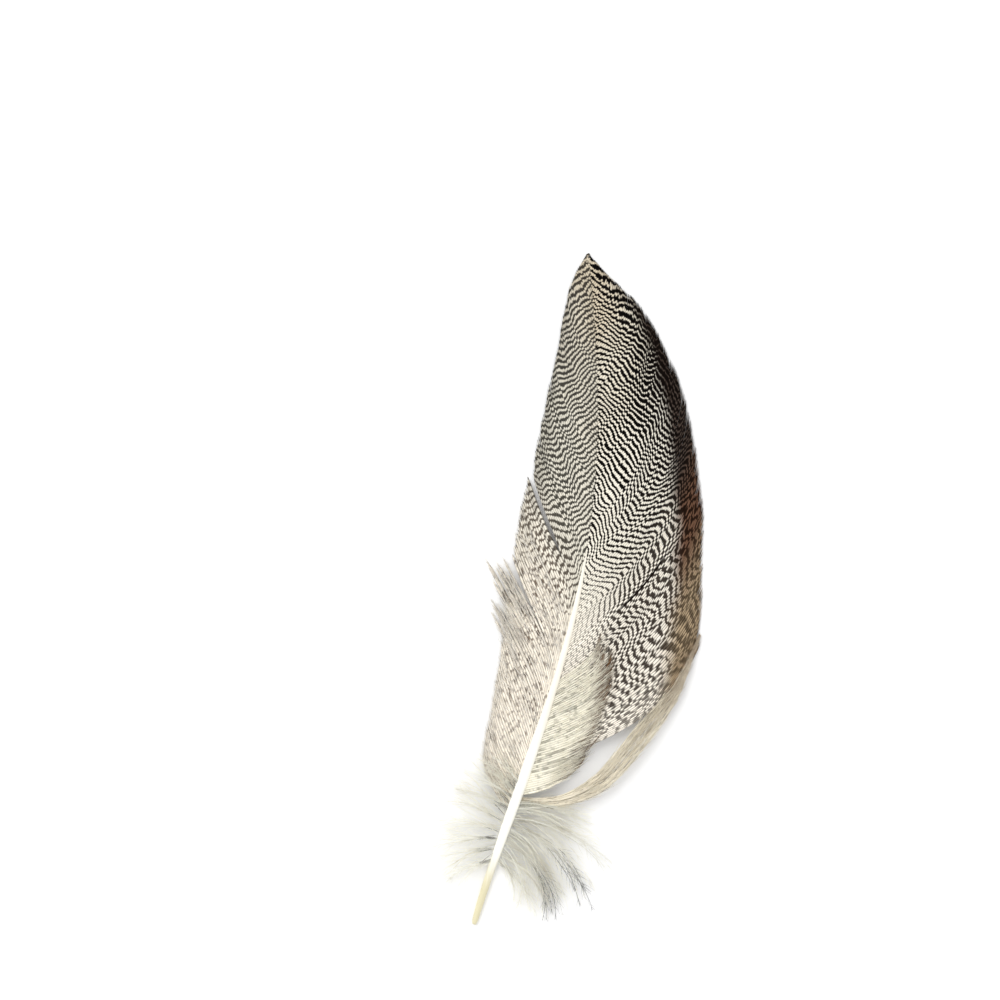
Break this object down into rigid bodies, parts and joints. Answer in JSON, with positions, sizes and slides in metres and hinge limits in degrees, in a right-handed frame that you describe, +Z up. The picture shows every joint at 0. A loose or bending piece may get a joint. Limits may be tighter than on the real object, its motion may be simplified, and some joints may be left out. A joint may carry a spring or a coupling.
{
  "type": "duck feather",
  "caption": "Barred grey and cream duck flank feather lying flat, with a bare quill, pale shaft, broad right web and downy foot.",
  "frame": {"origin": "middle of the feather's bounding box on the table it lies on", "axes": "+Y from the quill end to the tip, +X towards the broad web, +Z up out of the feather's outer face"},
  "size_m": [0.041, 0.117, 0.0057],
  "materials": {
    "vane": "matte, barred dark brown on cream",
    "shaft": "horny, smooth, satin",
    "down": "soft white fluff with grey ends"
  },
  "bodies": {
    "root": {"feather": "vane"}
  },
  "joints": []
}
